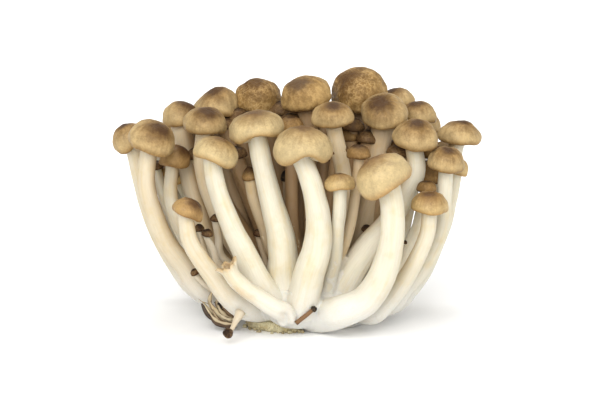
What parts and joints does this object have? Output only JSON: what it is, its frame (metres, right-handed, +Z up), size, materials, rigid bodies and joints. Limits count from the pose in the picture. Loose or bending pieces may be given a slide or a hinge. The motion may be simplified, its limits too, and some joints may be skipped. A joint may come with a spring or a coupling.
{
  "type": "bunch of beech mushrooms",
  "caption": "Upright bunch of brown beech mushrooms, round tan caps on long curved cream stems that all grow out of one white foot.",
  "frame": {"origin": "a point under the foot, on the surface that the bunch stands on", "axes": "+Z up, +X to the right of someone who looks at the front, along the bunch's greatest width, and -Y to the front"},
  "size_m": [0.1303, 0.1017, 0.086],
  "materials": {
    "mushroom_flesh": "matt, with fine fibres along it",
    "cap_skin": "smooth and slightly satin",
    "gills": "matt, in thin blades",
    "foot_tissue": "matt and slightly woolly",
    "block_crust": "rough and crumbly",
    "dark_pin": "dry",
    "dried_tissue": "dry and wrinkled"
  },
  "bodies": {
    "root": {"back_mushroom_1": "mushroom_flesh", "back_mushroom_10": "mushroom_flesh", "back_mushroom_11": "mushroom_flesh", "back_mushroom_12": "mushroom_flesh", "back_mushroom_13": "mushroom_flesh", "back_mushroom_14": "mushroom_flesh", "back_mushroom_2": "mushroom_flesh", "back_mushroom_3": "mushroom_flesh", "back_mushroom_4": "mushroom_flesh", "back_mushroom_5": "mushroom_flesh", "back_mushroom_6": "mushroom_flesh", "back_mushroom_7": "mushroom_flesh", "back_mushroom_8": "mushroom_flesh", "back_mushroom_9": "mushroom_flesh", "base_tissue": "foot_tissue", "black_pin": "dark_pin", "dried_stems": "dried_tissue", "front_mushroom_1": "mushroom_flesh", "front_mushroom_2": "mushroom_flesh", "front_mushroom_3": "mushroom_flesh", "front_mushroom_4": "mushroom_flesh", "front_mushroom_5": "mushroom_flesh", "front_mushroom_6": "mushroom_flesh", "front_mushroom_7": "mushroom_flesh", "front_mushroom_8": "mushroom_flesh", "growing_block_crust": "block_crust", "inner_mushroom_1": "mushroom_flesh", "inner_mushroom_2": "mushroom_flesh", "inner_mushroom_3": "mushroom_flesh", "inner_mushroom_4": "mushroom_flesh", "inner_mushroom_5": "mushroom_flesh", "inner_mushroom_6": "mushroom_flesh", "left_mushroom_1": "mushroom_flesh", "left_mushroom_2": "mushroom_flesh", "left_mushroom_3": "mushroom_flesh", "left_mushroom_4": "mushroom_flesh", "left_mushroom_5": "mushroom_flesh", "left_mushroom_6": "mushroom_flesh", "pin_1": "dark_pin", "pin_2": "dark_pin", "pin_3": "dark_pin", "pin_4": "dark_pin", "pin_5": "dark_pin", "pin_6": "dark_pin", "pin_7": "dark_pin", "right_mushroom_1": "mushroom_flesh", "right_mushroom_2": "mushroom_flesh", "right_mushroom_3": "mushroom_flesh", "right_mushroom_4": "mushroom_flesh", "right_mushroom_5": "mushroom_flesh", "right_mushroom_6": "mushroom_flesh", "top_mushroom_1": "mushroom_flesh", "top_mushroom_2": "mushroom_flesh", "top_mushroom_3": "mushroom_flesh", "top_mushroom_4": "mushroom_flesh", "top_mushroom_5": "mushroom_flesh", "top_mushroom_6": "mushroom_flesh", "top_mushroom_7": "mushroom_flesh", "torn_stem": "mushroom_flesh", "withered_pin": "dark_pin"}
  },
  "joints": []
}
